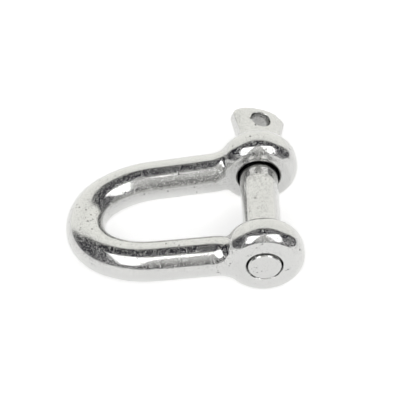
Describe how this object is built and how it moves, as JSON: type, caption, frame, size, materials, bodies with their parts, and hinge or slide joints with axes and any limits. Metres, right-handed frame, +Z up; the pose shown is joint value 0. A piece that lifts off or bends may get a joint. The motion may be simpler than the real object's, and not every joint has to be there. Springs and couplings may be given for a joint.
{
  "type": "dee shackle",
  "caption": "Screw-pin dee shackle: a D-shaped round-bar bow with two flattened ears, closed by a threaded pin with a collar and an eye lug.",
  "frame": {"origin": "on the pin axis, midway between the two ears", "axes": "+Y along the pin towards its eye lug, -X towards the crown of the bow, +Z up with the shackle lying flat on its ear rims and crown"},
  "size_m": [0.0731, 0.0683, 0.025],
  "materials": {
    "bow_steel": "tumble-polished stainless steel, faint cast grain",
    "pin_steel": "tumble-polished stainless steel, faint cast grain"
  },
  "bodies": {
    "bow": {"bow": "bow_steel"},
    "pin_carriage": {"pin_shank": "pin_steel"},
    "pin": {"pin_head": "pin_steel", "pin_thread": "pin_steel"}
  },
  "joints": [
    {"name": "pin_travel", "type": "slide", "parent": "bow", "child": "pin_carriage", "axis": [0, 1, 0], "range_m": [0, 0.04901]},
    {"name": "pin_turn", "type": "hinge", "parent": "pin_carriage", "child": "pin", "pos_m": [0, 0.0343, 0], "axis": [0, 1, 0], "range_deg": [0, 10080]}
  ],
  "couplings": [
    {"joint": "pin_travel", "follows": "pin_turn", "m_per_rad": 0.00027852}
  ]
}
